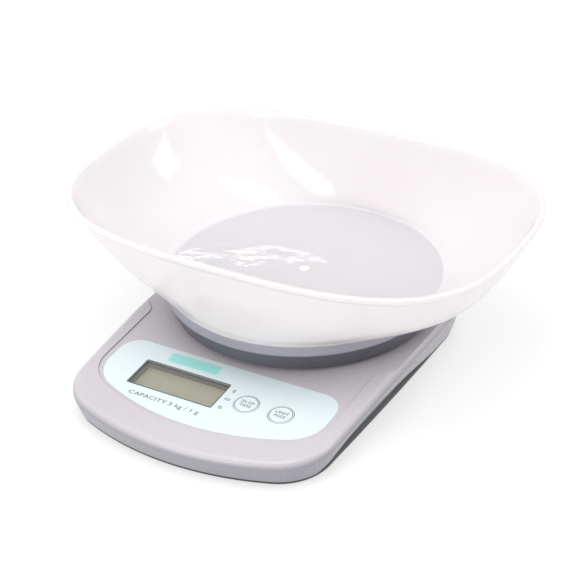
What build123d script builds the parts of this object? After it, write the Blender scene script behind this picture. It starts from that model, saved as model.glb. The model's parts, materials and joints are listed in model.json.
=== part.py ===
"""Electronic kitchen scale with a loose mixing bowl, modelled as separate pieces.

Frame: millimetres, +Z up, +X to the right of the display, +Y towards the back.
The origin is on the table, under the middle of the whole object's box.
"""
from build123d import *
import math
import os

os.makedirs("parts", exist_ok=True)

# ---------------------------------------------------------------- driving dimensions
# Plan of the housing at the cover's lower edge. y is counted from the axis of the weighing platform.
# The cover's wall flares outwards from there; FOREMOST is the y it reaches under the front edge.
HALF_WIDTH = 71.0
FRONT = -134.05
BACK = 64.9
FRONT_CORNER_R = 27.4
BACK_CORNER_R = 33.0
FRONT_R = 146.0
BACK_R = 127.0
SIDE_R = 3200.0
SIDE_MIDDLE = -10.0
DRAFT = 17.2
FOREMOST = -136.1

# Heights above the table.
FOOT_HEIGHT = 0.8
FLOOR_TOP = 2.8
BASE_EDGE_TOP = 2.4
SKIRT_Z = 2.6
FLAT_Z = 20.1
LOWER_WALL_TOP = 15.6
WALL = 2.2
LOWER_WALL = 2.0
WALL_GAP = 0.3
BASE_EDGE_INSET = 0.6
EDGE_R = 3.8

# The control panel slopes down towards the front, inside a raised border.
SLOPE = 4.6
SLOPE_START = -44.0
BLEND_R = 160.0
BORDER_RISE = 0.7
BORDER_HALF_WIDTH = 65.8
BORDER_FRONT = -119.7
BORDER_CORNER_R = 22.0
PANEL_ARC_Y = 9.4
BORDER_END_INNER = -47.0
BORDER_END_OUTER = -33.0

# Finger recess under each side edge: one arc to the front of its highest point, an S to the back.
RECESS_PEAK = (-62.0, 12.4)
RECESS_FRONT_END = (-109.7, 2.5)
RECESS_TURN = (-11.0, 6.94)
RECESS_BACK_END = (30.0, 2.5)
RECESS_REACH = 80.0
RECESS_DEPTH = 16.0

# Control panel: x positions and depths under the panel surface.
ROW_Y = -92.6
DISPLAY_X = -19.1
DISPLAY_SIZE = (48.8, 18.7)
KEY_X = {"tare": 19.9, "unit": 39.2}
KEY_D = 12.6
KEY_HOLE_D = 13.2
KEY_TRAVEL = 0.4
LABEL_HALF_WIDTH = 62.8
LABEL_TOP = -69.9
LABEL_FRONT = -117.9
LABEL_THICK = 0.3
LENS_BOTTOM = 1.3
BEZEL_BOTTOM = 4.2
GLASS_BOTTOM = 6.2
BOARD_TOP = 8.5
BOARD_BOTTOM = 9.7
BOARD_SIZE = (110.0, 34.0)
BOARD_X = -2.0
BOARD_SCREWS = [(-52.6, -13.0), (-52.6, 13.0), (49.2, -13.0), (49.2, 13.0)]
BOARD_SCREW_D = 1.8
BEZEL_SIZE = (57.0, 27.0)
GLASS_SIZE = (52.0, 23.5)
SWITCH_TOP = 5.6
ACTUATOR_TOP = 5.0
FLANGE_D = 15.0

# Weighing platform.
PLATFORM_R = 72.7
PLATFORM_LOW_R = 69.3
PLATFORM_LOW_Z = 22.3
PLATFORM_BAND_Z = 31.0
PLATFORM_TOP = 36.5
PLATFORM_PLATE = 2.0
PLATFORM_WALL = 2.2

# Load cell stack, low to high.
PAD_TOP = 4.0
CELL_LOW = 5.2
CELL_TOP = 13.2
CELL_LENGTH = 56.0
CELL_WIDTH = 12.0
BRACKET_LOW = 14.4
BRACKET_TOP = 15.8
POST_TOP = 23.0
POST_SPACING = (58.0, 24.0)
STOP_GAP = 0.6
CELL_BASE_HOLES = [-23.0, -15.0]
CELL_FREE_HOLES = [15.0, 23.0]

# Battery compartment, opened from below, behind the load cell.
BATTERY_D = 10.5
BATTERY_LENGTH = 44.5
BATTERY_ROWS = [31.8, 42.8]
BATTERY_Z = 7.85
BAY_X = (-27.0, 27.0)
BAY_Y = (25.9, 48.7)
BAY_TOP = 13.4
BAY_WALL = 1.5
DOOR_SIZE = (58.0, 26.8)
DOOR_Y = 37.3
DOOR_THICK = 1.5

# Fasteners and feet.
FOOT_SPOTS = [(-50.0, -97.0), (50.0, -97.0), (-48.0, 26.0), (48.0, 26.0)]
FOOT_D = 14.0
HOUSING_SCREWS = [(-40.0, -118.5), (40.0, -118.5), (-61.5, -60.0), (61.5, -60.0), (-50.0, 37.0), (50.0, 37.0)]
SCREW_JOINT_Z = 6.0
DOOR_PIN = (24.9, 1.55)
DOOR_PIN_D = 1.2

# Bowl: a round floor that opens into a rounded rectangle.
BOWL_FLOOR_R = 72.7
BOWL_RIM_A = 119.4
BOWL_RIM_B = 82.8
BOWL_RIM_POWER = 3.0
BOWL_TOP = 81.8
BOWL_LINEAR = 0.37
BOWL_STEEPEN = 4.0
BOWL_WIDEN = 2.3
BOWL_SQUARE = 3.0
BOWL_WALL = 1.6
BOWL_LIP = 0.9
BOWL_LIP_HEIGHT = 2.6
BOWL_SECTIONS = 11
SECTION_POINTS = 32

# The platform's axis stands this far behind the origin, so that the origin is in the middle.
PLATFORM_Y = -(FOREMOST + BOWL_RIM_B + BOWL_LIP) / 2


# ---------------------------------------------------------------- planes and outlines
def level(z):
    """Horizontal plane at height z with its origin on the platform's axis."""
    return Plane((0, PLATFORM_Y, z))


def panel(depth):
    """Plane parallel to the sloping control panel, depth below its surface, centred on the key row."""
    tilt = math.radians(SLOPE)
    height = FLAT_Z + (ROW_Y - SLOPE_START) * math.tan(tilt)
    origin = (0, PLATFORM_Y + ROW_Y, height)
    return Plane(origin=origin, x_dir=(1, 0, 0), z_dir=(0, -math.sin(tilt), math.cos(tilt))).offset(-depth)


def side_view(x):
    """Vertical plane whose local x is the object's y from the platform's axis and local y is height."""
    return Plane(origin=(x, PLATFORM_Y, 0), x_dir=(0, 1, 0), z_dir=(1, 0, 0))


def housing_outline(plane, inset=0.0):
    """Plan of the housing: two bowed ends, two slightly bowed sides and rounded corners."""
    with BuildSketch(plane) as outline:
        with Locations((0, FRONT + FRONT_R)):
            Circle(FRONT_R - inset)
        with Locations((0, BACK - BACK_R)):
            Circle(BACK_R - inset, mode=Mode.INTERSECT)
        for side in (-1, 1):
            turn = 0 if side < 0 else 180
            with Locations(Location((side * (HALF_WIDTH - SIDE_R), SIDE_MIDDLE, 0), (0, 0, turn))):
                Circle(SIDE_R - inset, mode=Mode.INTERSECT)
        fillet(outline.vertices().sort_by(Axis.Y)[:2], FRONT_CORNER_R - inset)
        fillet(outline.vertices().sort_by(Axis.Y)[-2:], BACK_CORNER_R - inset)
    return outline.sketch


def top_profile(rise):
    """Side profile of everything above the housing's top surface, raised by rise."""
    tilt = math.radians(SLOPE)
    reach = BLEND_R * math.tan(tilt / 2)
    far = 120.0
    front_z = FLAT_Z + rise - far * math.tan(tilt)
    low = (SLOPE_START - far, front_z)
    blend_start = (SLOPE_START - reach * math.cos(tilt), FLAT_Z + rise - reach * math.sin(tilt))
    blend_end = (SLOPE_START + reach, FLAT_Z + rise)
    with BuildSketch(side_view(-100)) as profile:
        with BuildLine():
            Line(low, blend_start)
            TangentArc(blend_start, blend_end, tangent=(math.cos(tilt), math.sin(tilt)))
            Polyline(blend_end, (120, FLAT_Z + rise), (120, 60), (SLOPE_START - far, 60), low)
        make_face()
    return profile.sketch


def solid_above(rise):
    """Everything above the top surface, used to cut the housing to its height."""
    with BuildPart() as above:
        extrude(top_profile(rise), amount=200)
    return above.part


# ---------------------------------------------------------------- housings
def panel_recess():
    """The sunken area inside the raised border, open to the back."""
    flare = BORDER_END_OUTER - BORDER_END_INNER
    outer = BORDER_HALF_WIDTH + 2 * flare
    with BuildPart() as recess:
        with BuildSketch(level(0)) as area:
            with BuildLine():
                Polyline(
                    (-BORDER_HALF_WIDTH, -160),
                    (-BORDER_HALF_WIDTH, BORDER_END_INNER),
                    (-outer, BORDER_END_OUTER + flare),
                    (-outer, 90),
                    (outer, 90),
                    (outer, BORDER_END_OUTER + flare),
                    (BORDER_HALF_WIDTH, BORDER_END_INNER),
                    (BORDER_HALF_WIDTH, -160),
                    close=True,
                )
            make_face()
            with Locations((0, PANEL_ARC_Y)):
                Circle(PANEL_ARC_Y - BORDER_FRONT, mode=Mode.INTERSECT)
            fillet(area.vertices().sort_by(Axis.Y)[:2], BORDER_CORNER_R)
            fillet(area.vertices().sort_by(Axis.Y)[4:6], 6)
        extrude(amount=60)
        add(solid_above(0), mode=Mode.INTERSECT)
    return recess.part


def recess_cutter(x):
    """Finger recess under a side edge, cut inwards or outwards from x."""
    with BuildPart() as cutter:
        with BuildSketch(side_view(x)):
            with BuildLine():
                TangentArc(RECESS_PEAK, RECESS_FRONT_END, tangent=(-1, 0))
                TangentArc(RECESS_PEAK, RECESS_TURN, tangent=(1, 0))
                TangentArc(RECESS_BACK_END, RECESS_TURN, tangent=(-1, 0))
                Polyline(
                    RECESS_FRONT_END,
                    (RECESS_FRONT_END[0], 0),
                    (RECESS_BACK_END[0], 0),
                    RECESS_BACK_END,
                )
            make_face()
        extrude(amount=RECESS_DEPTH)
    return cutter.part


def label_outline(plane, inset=0.0):
    """Printed label: straight back edge, round corners and a bowed front edge."""
    front_r = PANEL_ARC_Y - LABEL_FRONT
    with BuildSketch(plane) as outline:
        with Locations((0, LABEL_TOP - ROW_Y - 50)):
            Rectangle(2 * LABEL_HALF_WIDTH, 100)
        with Locations((0, PANEL_ARC_Y - ROW_Y)):
            Circle(front_r, mode=Mode.INTERSECT)
        fillet(outline.vertices().sort_by(Axis.Y)[:2], 20)
        fillet(outline.vertices().sort_by(Axis.Y)[-2:], 11)
        if inset:
            offset(amount=-inset)
    return outline.sketch


def display_rectangle(plane, grow, corner=1.0):
    """Rounded rectangle around the display, larger than the visible window by grow in all."""
    with BuildSketch(plane) as window:
        with Locations((DISPLAY_X, 0)):
            RectangleRounded(DISPLAY_SIZE[0] + grow, DISPLAY_SIZE[1] + grow, corner)
    return window.sketch


def make_upper_housing():
    """Top cover: a wedge with a raised border, finger recesses and bosses underneath."""
    with BuildPart() as cavity:
        extrude(housing_outline(level(SKIRT_Z), WALL), amount=FLAT_Z, taper=-DRAFT)
        add(solid_above(-WALL), mode=Mode.SUBTRACT)
        curved = cavity.edges().filter_by(GeomType.LINE, reverse=True)
        fillet(curved.filter_by(lambda edge: edge.center().Z > FLAT_Z - WALL - 8), EDGE_R - WALL)

    with BuildPart() as bosses:
        with BuildSketch(level(SCREW_JOINT_Z)):
            with Locations(*HOUSING_SCREWS):
                Circle(3.6)
        extrude(amount=30)
        with BuildSketch(panel(BOARD_TOP)):
            with Locations(*BOARD_SCREWS):
                Circle(2.4)
        extrude(amount=BOARD_TOP + 5)
        add(solid_above(-WALL / 2), mode=Mode.SUBTRACT)
        with BuildSketch(level(SCREW_JOINT_Z)):
            with Locations(*HOUSING_SCREWS):
                Circle(1.25)
        extrude(amount=5, mode=Mode.SUBTRACT)
        with BuildSketch(panel(BOARD_TOP)):
            with Locations(*BOARD_SCREWS):
                Circle(BOARD_SCREW_D / 2 + 0.1)
        extrude(amount=4.5, mode=Mode.SUBTRACT)

    with BuildPart() as upper_housing:
        extrude(housing_outline(level(SKIRT_Z)), amount=FLAT_Z, taper=-DRAFT)
        add(solid_above(BORDER_RISE), mode=Mode.SUBTRACT)
        curved = upper_housing.edges().filter_by(GeomType.LINE, reverse=True)
        fillet(curved.filter_by(lambda edge: edge.center().Z > FLAT_Z - 8), EDGE_R)
        add(panel_recess(), mode=Mode.SUBTRACT)
        add(cavity.part, mode=Mode.SUBTRACT)
        add(recess_cutter(-RECESS_REACH), mode=Mode.SUBTRACT)
        add(recess_cutter(RECESS_REACH - RECESS_DEPTH), mode=Mode.SUBTRACT)
        add(bosses.part)

        # Low dam around the holes for the platform's posts, then the holes.
        with BuildSketch(level(FLAT_Z - 0.5)):
            Circle(42)
            Circle(40.4, mode=Mode.SUBTRACT)
        extrude(amount=1.5)
        with BuildSketch(level(FLAT_Z - 6)):
            with GridLocations(*POST_SPACING, 2, 2):
                Circle(5.8)
        extrude(amount=8, mode=Mode.SUBTRACT)

        # Label recess, window with its ledge, and the two key holes.
        extrude(label_outline(panel(LABEL_THICK)), amount=3, mode=Mode.SUBTRACT)
        extrude(display_rectangle(panel(LENS_BOTTOM), 3.0), amount=3, mode=Mode.SUBTRACT)
        extrude(display_rectangle(panel(4), 1.0), amount=6, mode=Mode.SUBTRACT)
        with BuildSketch(panel(4)):
            with Locations(*[(x, 0) for x in KEY_X.values()]):
                Circle(KEY_HOLE_D / 2)
        extrude(amount=6, mode=Mode.SUBTRACT)
    return upper_housing


def make_lower_housing():
    """Base tray with the load cell pad, battery bay, screw posts and foot pockets."""
    with BuildPart() as lower_housing:
        base_edge = housing_outline(level(FOOT_HEIGHT), BASE_EDGE_INSET)
        extrude(base_edge, amount=BASE_EDGE_TOP - FOOT_HEIGHT)
        fillet(lower_housing.faces().sort_by(Axis.Z)[0].edges(), 0.5)
        wall_outside = housing_outline(level(BASE_EDGE_TOP - 0.5), WALL + WALL_GAP)
        extrude(wall_outside, amount=LOWER_WALL_TOP - BASE_EDGE_TOP + 0.5)
        wall_inside = housing_outline(level(FLOOR_TOP), WALL + WALL_GAP + LOWER_WALL)
        extrude(wall_inside, amount=40, mode=Mode.SUBTRACT)
        add(solid_above(-WALL - 0.6), mode=Mode.SUBTRACT)

        # Pad under the fixed end of the load cell, boss for the overload stop and screw posts.
        with BuildSketch(level(FLOOR_TOP - 0.5)):
            with Locations((-19, 0)):
                Rectangle(19, 16)
        extrude(amount=PAD_TOP - FLOOR_TOP + 0.5)
        with BuildSketch(level(FLOOR_TOP - 0.5)):
            with Locations((CELL_FREE_HOLES[1], 0)):
                Circle(4.5)
        extrude(amount=1.3)
        with BuildSketch(level(FLOOR_TOP - 0.5)):
            with Locations(*HOUSING_SCREWS):
                Circle(4)
        extrude(amount=SCREW_JOINT_Z - FLOOR_TOP + 0.5)

        # Battery bay: walls and roof, then the space inside and the recess for its door.
        bay_centre = ((BAY_X[0] + BAY_X[1]) / 2, (BAY_Y[0] + BAY_Y[1]) / 2)
        bay_size = (BAY_X[1] - BAY_X[0], BAY_Y[1] - BAY_Y[0])
        with BuildSketch(level(FLOOR_TOP - 0.5)):
            with Locations(bay_centre):
                Rectangle(bay_size[0] + 2 * BAY_WALL, bay_size[1] + 2 * BAY_WALL)
        extrude(amount=BAY_TOP + BAY_WALL - FLOOR_TOP + 0.5)
        with BuildSketch(level(0)):
            with Locations(bay_centre):
                Rectangle(*bay_size)
        extrude(amount=BAY_TOP, mode=Mode.SUBTRACT)
        with BuildSketch(level(0)):
            with Locations((0, DOOR_Y)):
                Rectangle(*DOOR_SIZE)
        extrude(amount=FOOT_HEIGHT + DOOR_THICK + 0.1, mode=Mode.SUBTRACT)
        with BuildSketch(side_view(-DOOR_SIZE[0] / 2 - 1)):
            with Locations(DOOR_PIN):
                Circle(DOOR_PIN_D / 2 + 0.05)
        extrude(amount=DOOR_SIZE[0] + 2, mode=Mode.SUBTRACT)

        # Holes from below: housing screws, load cell screws, overload stop, foot pockets.
        with BuildSketch(level(0)):
            with Locations(*HOUSING_SCREWS):
                Circle(2.9)
        extrude(amount=3.2, mode=Mode.SUBTRACT)
        with BuildSketch(level(0)):
            with Locations(*HOUSING_SCREWS):
                Circle(1.5)
        extrude(amount=SCREW_JOINT_Z + 1, mode=Mode.SUBTRACT)
        with BuildSketch(level(0)):
            with Locations(*[(x, 0) for x in CELL_BASE_HOLES]):
                Circle(3.0)
        extrude(amount=2.6, mode=Mode.SUBTRACT)
        with BuildSketch(level(0)):
            with Locations(*[(x, 0) for x in CELL_BASE_HOLES]):
                Circle(1.65)
            with Locations((CELL_FREE_HOLES[1], 0)):
                Circle(2.0)
        extrude(amount=6, mode=Mode.SUBTRACT)
        with BuildSketch(level(0)):
            with Locations(*FOOT_SPOTS):
                Circle(FOOT_D / 2 + 0.1)
        extrude(amount=2.0, mode=Mode.SUBTRACT)
    return lower_housing


# ---------------------------------------------------------------- control panel pieces
def make_label():
    """Thin printed overlay with a window and two round openings for the keys."""
    with BuildPart() as panel_label:
        extrude(label_outline(panel(LABEL_THICK), 0.1), amount=LABEL_THICK)
        extrude(display_rectangle(panel(1), 0.0), amount=2, mode=Mode.SUBTRACT)
        with BuildSketch(panel(1)):
            with Locations(*[(x, 0) for x in KEY_X.values()]):
                Circle(KEY_HOLE_D / 2)
        extrude(amount=2, mode=Mode.SUBTRACT)
    return panel_label


def make_display_window():
    """Clear lens that lies on the ledge under the label."""
    with BuildPart() as display_window:
        extrude(display_rectangle(panel(LENS_BOTTOM), 2.6), amount=LENS_BOTTOM - LABEL_THICK)
    return display_window


def make_display_bezel():
    """Dark frame: a flange under the cover and a short sleeve up to the lens."""
    with BuildPart() as display_bezel:
        with BuildSketch(panel(BEZEL_BOTTOM)):
            with Locations((DISPLAY_X, 0)):
                RectangleRounded(*BEZEL_SIZE, 2)
        extrude(amount=BEZEL_BOTTOM - WALL - 0.1)
        extrude(display_rectangle(panel(BEZEL_BOTTOM), 0.6), amount=BEZEL_BOTTOM - LENS_BOTTOM)
        extrude(display_rectangle(panel(BEZEL_BOTTOM), -1.2, 0.6), amount=5, mode=Mode.SUBTRACT)
    return display_bezel


def make_display_glass():
    """Liquid crystal cell: two panes, the lower one longer for its contact edge."""
    with BuildPart() as display_glass:
        with BuildSketch(panel(GLASS_BOTTOM)):
            with Locations((DISPLAY_X, 0)):
                Rectangle(*GLASS_SIZE)
        extrude(amount=1.0)
        with BuildSketch(panel(GLASS_BOTTOM - 1.0)):
            with Locations((DISPLAY_X, 1.0)):
                Rectangle(GLASS_SIZE[0], GLASS_SIZE[1] - 2.0)
        extrude(amount=1.0)
    return display_glass


def make_zebra_strip():
    """Elastomer strip that joins the glass to the board."""
    with BuildPart() as zebra_strip:
        with BuildSketch(panel(BOARD_TOP)):
            with Locations((DISPLAY_X, -9.8)):
                Rectangle(46, 2.2)
        extrude(amount=BOARD_TOP - GLASS_BOTTOM)
    return zebra_strip


def make_main_board():
    with BuildPart() as main_board:
        with BuildSketch(panel(BOARD_BOTTOM)):
            with Locations((BOARD_X, 0)):
                RectangleRounded(*BOARD_SIZE, 1.5)
            with Locations(*BOARD_SCREWS):
                Circle(1.2, mode=Mode.SUBTRACT)
        extrude(amount=BOARD_BOTTOM - BOARD_TOP)
    return main_board


def make_chip_coating():
    """Drop of resin over the controller, on the underside of the board."""
    with BuildPart() as chip_coating:
        with BuildSketch(panel(BOARD_BOTTOM + 1.4)):
            with Locations((22, 2)):
                Circle(6)
        extrude(amount=1.4)
        fillet(chip_coating.faces().sort_by(Axis.Z)[0].edges(), 1.2)
    return chip_coating


def make_switch(x):
    """Tact switch body with a well for its actuator."""
    with BuildPart() as switch:
        with BuildSketch(panel(BOARD_TOP)):
            with Locations((x, 0)):
                Rectangle(6, 6)
        extrude(amount=BOARD_TOP - SWITCH_TOP)
        with BuildSketch(panel(SWITCH_TOP)):
            with Locations((x, 0)):
                Circle(1.85)
        extrude(amount=-2.0, mode=Mode.SUBTRACT)
    return switch


def make_actuator(x):
    with BuildPart() as actuator:
        with BuildSketch(panel(ACTUATOR_TOP)):
            with Locations((x, 0)):
                Circle(1.7)
        extrude(amount=-1.8)
    return actuator


def make_plunger(x):
    """Key pusher: a head in the cover's hole, a retaining flange and a stem to the switch."""
    with BuildPart() as plunger:
        with BuildSketch(panel(LABEL_THICK)):
            with Locations((x, 0)):
                Circle(KEY_D / 2)
        extrude(amount=-2.4)
        with BuildSketch(panel(LABEL_THICK + 2.4)):
            with Locations((x, 0)):
                Circle(FLANGE_D / 2)
        extrude(amount=-0.8)
        with BuildSketch(panel(LABEL_THICK + 3.2)):
            with Locations((x, 0)):
                Circle(2)
        extrude(amount=-(ACTUATOR_TOP - LABEL_THICK - 3.2))
    return plunger


def make_key(x):
    """Round pad of label film on top of a pusher, with a softened edge."""
    with BuildPart() as key:
        with BuildSketch(panel(LABEL_THICK)):
            with Locations((x, 0)):
                Circle(KEY_D / 2)
        extrude(amount=LABEL_THICK + 0.1)
        fillet(key.edges().sort_by(Axis.Z)[-1], 0.15)
    return key


def make_board_screws():
    """Four small self-tapping screws, driven from below the board."""
    with BuildPart() as board_screws:
        with BuildSketch(panel(BOARD_BOTTOM)):
            with Locations(*BOARD_SCREWS):
                Circle(2.0)
        extrude(amount=-1.2)
        with BuildSketch(panel(BOARD_BOTTOM)):
            with Locations(*BOARD_SCREWS):
                Circle(BOARD_SCREW_D / 2)
        extrude(amount=BOARD_BOTTOM - BOARD_TOP + 4)
        with BuildSketch(panel(BOARD_BOTTOM + 1.2)):
            with Locations(*BOARD_SCREWS):
                Rectangle(2.4, 0.5)
                Rectangle(0.5, 2.4)
        extrude(amount=0.6, mode=Mode.SUBTRACT)
    return board_screws


# ---------------------------------------------------------------- weighing mechanism
def make_load_cell():
    """Aluminium beam with the double bore that lets it bend."""
    with BuildPart() as load_cell:
        with BuildSketch(level(CELL_LOW)):
            Rectangle(CELL_LENGTH, CELL_WIDTH)
        extrude(amount=CELL_TOP - CELL_LOW)
        centre = (CELL_LOW + CELL_TOP) / 2
        across = Plane(origin=(0, PLATFORM_Y - CELL_WIDTH, centre), x_dir=(1, 0, 0), z_dir=(0, -1, 0))
        with BuildSketch(across):
            with Locations((-5, 0), (5, 0)):
                Circle(2.8)
            Rectangle(10, 1.6)
        extrude(amount=-2 * CELL_WIDTH, mode=Mode.SUBTRACT)
        with BuildSketch(level(0)):
            with Locations(*[(x, 0) for x in CELL_BASE_HOLES]):
                Circle(1.5)
            with Locations(*[(x, 0) for x in CELL_FREE_HOLES]):
                Circle(1.75)
        extrude(amount=20, mode=Mode.SUBTRACT)
    return load_cell


def make_gauge_potting():
    """White sealant over the strain gauges on top of the beam."""
    with BuildPart() as gauge_potting:
        with BuildSketch(level(CELL_TOP)):
            RectangleRounded(16, 9, 2)
        extrude(amount=0.5)
    return gauge_potting


def make_cell_plate(x_middle, low, high):
    """Packing plate between the beam and what it is screwed to."""
    holes = CELL_BASE_HOLES if x_middle < 0 else CELL_FREE_HOLES
    with BuildPart() as plate:
        with BuildSketch(level(low)):
            with Locations((x_middle, 0)):
                Rectangle(17, CELL_WIDTH)
            with Locations(*[(x, 0) for x in holes]):
                Circle(1.7, mode=Mode.SUBTRACT)
        extrude(amount=high - low)
    return plate


def make_screws(spots, head_z, head_r, head_h, shank_r, shank_to):
    """Cross-head screws at the given spots. A shank_to above head_z points the screw up."""
    up = 1 if shank_to > head_z else -1
    with BuildPart() as screws:
        with BuildSketch(level(head_z)):
            with Locations(*spots):
                Circle(head_r)
        extrude(amount=-up * head_h)
        with BuildSketch(level(head_z)):
            with Locations(*spots):
                Circle(shank_r)
        extrude(amount=shank_to - head_z)
        with BuildSketch(level(head_z - up * head_h)):
            with Locations(*spots):
                Rectangle(1.2 * head_r, 0.7)
                Rectangle(0.7, 1.2 * head_r)
        extrude(amount=up * 0.8, mode=Mode.SUBTRACT)
    return screws


def make_overload_stop():
    """Headless screw just under the free end of the beam."""
    with BuildPart() as overload_stop:
        with BuildSketch(level(FOOT_HEIGHT + 0.4)):
            with Locations((CELL_FREE_HOLES[1], 0)):
                Circle(1.95)
        extrude(amount=CELL_LOW - STOP_GAP - FOOT_HEIGHT - 0.4)
        with BuildSketch(level(FOOT_HEIGHT + 0.4)):
            with Locations((CELL_FREE_HOLES[1], 0)):
                Rectangle(2.6, 0.6)
        extrude(amount=0.8, mode=Mode.SUBTRACT)
    return overload_stop


def make_platform_bracket():
    """Carrier on the free end of the beam, with four posts up to the platform."""
    with BuildPart() as platform_bracket:
        with BuildSketch(level(BRACKET_LOW)):
            RectangleRounded(POST_SPACING[0] + 9, POST_SPACING[1] + 9, 4)
        extrude(amount=BRACKET_TOP - BRACKET_LOW)
        with BuildSketch(level(BRACKET_TOP)):
            with GridLocations(*POST_SPACING, 2, 2):
                Circle(4)
        extrude(amount=POST_TOP - BRACKET_TOP)
        with BuildSketch(level(0)):
            with GridLocations(*POST_SPACING, 2, 2):
                Circle(1.5)
            with Locations(*[(x, 0) for x in CELL_FREE_HOLES]):
                Circle(1.7)
        extrude(amount=40, mode=Mode.SUBTRACT)
    return platform_bracket


def make_weighing_platform():
    """Round drum: flat top, upright band, and a lower band that tapers in."""
    half_plane = Plane(origin=(0, PLATFORM_Y, 0), x_dir=(1, 0, 0), z_dir=(0, -1, 0))
    under = PLATFORM_TOP - PLATFORM_PLATE
    with BuildPart() as weighing_platform:
        with BuildSketch(half_plane):
            with BuildLine():
                Polyline(
                    (0, under),
                    (PLATFORM_R - PLATFORM_WALL, under),
                    (PLATFORM_R - PLATFORM_WALL, PLATFORM_BAND_Z),
                    (PLATFORM_LOW_R - PLATFORM_WALL, PLATFORM_LOW_Z),
                    (PLATFORM_LOW_R, PLATFORM_LOW_Z),
                    (PLATFORM_R, PLATFORM_BAND_Z),
                    (PLATFORM_R, PLATFORM_TOP),
                    (0, PLATFORM_TOP),
                    close=True,
                )
            make_face()
        revolve(axis=Axis((0, PLATFORM_Y, 0), (0, 0, 1)))
        fillet(weighing_platform.faces().sort_by(Axis.Z)[-1].edges(), 0.8)
        with BuildSketch(level(POST_TOP)):
            with GridLocations(*POST_SPACING, 2, 2):
                Circle(4)
        extrude(amount=under - POST_TOP + 0.5)
        with BuildSketch(level(POST_TOP)):
            with GridLocations(*POST_SPACING, 2, 2):
                Circle(1.35)
        extrude(amount=9, mode=Mode.SUBTRACT)
    return weighing_platform


# ---------------------------------------------------------------- underside pieces
def make_rubber_feet():
    with BuildPart() as rubber_feet:
        with BuildSketch(level(0)):
            with Locations(*FOOT_SPOTS):
                Circle(FOOT_D / 2)
        extrude(amount=2.0)
        fillet(rubber_feet.edges().group_by(Axis.Z)[0], 0.4)
    return rubber_feet


def make_battery_door():
    """Flat cover that swings on two integral pins along its front edge."""
    front = DOOR_PIN[0]
    back = DOOR_Y + DOOR_SIZE[1] / 2 - 0.2
    low = FOOT_HEIGHT
    with BuildPart() as battery_door:
        with BuildSketch(side_view(-DOOR_SIZE[0] / 2 + 0.2)):
            with Locations(DOOR_PIN):
                Circle(DOOR_THICK / 2)
            with Locations(((front + back) / 2, low + DOOR_THICK / 2)):
                Rectangle(back - front, DOOR_THICK)
        extrude(amount=DOOR_SIZE[0] - 0.4)
        with BuildSketch(side_view(-DOOR_SIZE[0] / 2 - 0.8)):
            with Locations(DOOR_PIN):
                Circle(DOOR_PIN_D / 2)
        extrude(amount=DOOR_SIZE[0] + 1.6)
        with BuildSketch(level(low)):
            with Locations((0, back)):
                SlotOverall(14, 6)
        extrude(amount=0.7, mode=Mode.SUBTRACT)
    return battery_door


def make_battery(row, turned):
    """One AAA cell lying along X, with its button towards -X when turned."""
    start = -BATTERY_LENGTH / 2
    profile_plane = Plane(
        origin=(0, PLATFORM_Y + row, BATTERY_Z), x_dir=(-1 if turned else 1, 0, 0), z_dir=(0, 0, 1)
    )
    with BuildPart() as battery:
        with BuildSketch(profile_plane):
            with BuildLine():
                Polyline(
                    (start, 0),
                    (start, BATTERY_D / 2),
                    (-start - 1.0, BATTERY_D / 2),
                    (-start - 1.0, 1.9),
                    (-start, 1.9),
                    (-start, 0),
                    close=True,
                )
            make_face()
        revolve(axis=Axis(profile_plane.origin, (1, 0, 0)))
    return battery


def make_contact_plates():
    """Spring steel plates at the two ends of the battery bay."""
    thick = 0.4
    middle = sum(BATTERY_ROWS) / 2
    height = 9.0
    with BuildPart() as contact_plates:
        with BuildSketch(side_view(BAY_X[0])):
            with Locations((middle, BATTERY_Z)):
                Rectangle(19, height)
        extrude(amount=thick)
        with BuildSketch(side_view(BAY_X[1])):
            with Locations(*[(row, BATTERY_Z) for row in BATTERY_ROWS]):
                Rectangle(8, height)
        extrude(amount=-thick)
    return contact_plates


def make_contact_springs():
    """One coil spring behind the flat end of each cell."""
    gap = BAY_X[1] - 0.4 - BATTERY_LENGTH / 2
    wire = 0.3
    turns = 3
    with BuildPart() as contact_springs:
        for row, side in zip(BATTERY_ROWS, (-1, 1)):
            height = gap - 2 * wire - 0.1
            foot = (side * (BAY_X[1] - 0.45 - wire), PLATFORM_Y + row, BATTERY_Z)
            with BuildLine() as coil:
                Helix(pitch=height / turns, height=height, radius=2.6, center=foot, direction=(-side, 0, 0))
            with BuildSketch(Plane(origin=coil.line @ 0, z_dir=coil.line % 0)):
                Circle(wire)
            sweep(path=coil.line)
    return contact_springs


# ---------------------------------------------------------------- bowl
def bowl_section(plane, spread, inset=0.0):
    """Closed outline of the bowl between its round floor (spread 0) and its rim (spread 1)."""
    a = BOWL_FLOOR_R + (BOWL_RIM_A - BOWL_FLOOR_R) * spread - inset
    b = BOWL_FLOOR_R + (BOWL_RIM_B - BOWL_FLOOR_R) * spread**BOWL_WIDEN - inset
    power = 2 + (BOWL_RIM_POWER - 2) * spread**BOWL_SQUARE
    points = []
    for step in range(SECTION_POINTS):
        angle = 2 * math.pi * step / SECTION_POINTS
        c = abs(math.cos(angle)) / a
        s = abs(math.sin(angle)) / b
        radius = (c**power + s**power) ** (-1 / power)
        points.append((radius * math.cos(angle), radius * math.sin(angle)))
    with BuildSketch(plane) as section:
        with BuildLine():
            Spline(*points, periodic=True)
        make_face()
    return section.sketch


def bowl_height(spread):
    """Height of the wall's outside above the platform: a shallow start that steepens."""
    share = BOWL_LINEAR * spread + (1 - BOWL_LINEAR) * spread**BOWL_STEEPEN
    return (BOWL_TOP - PLATFORM_TOP) * share


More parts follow.
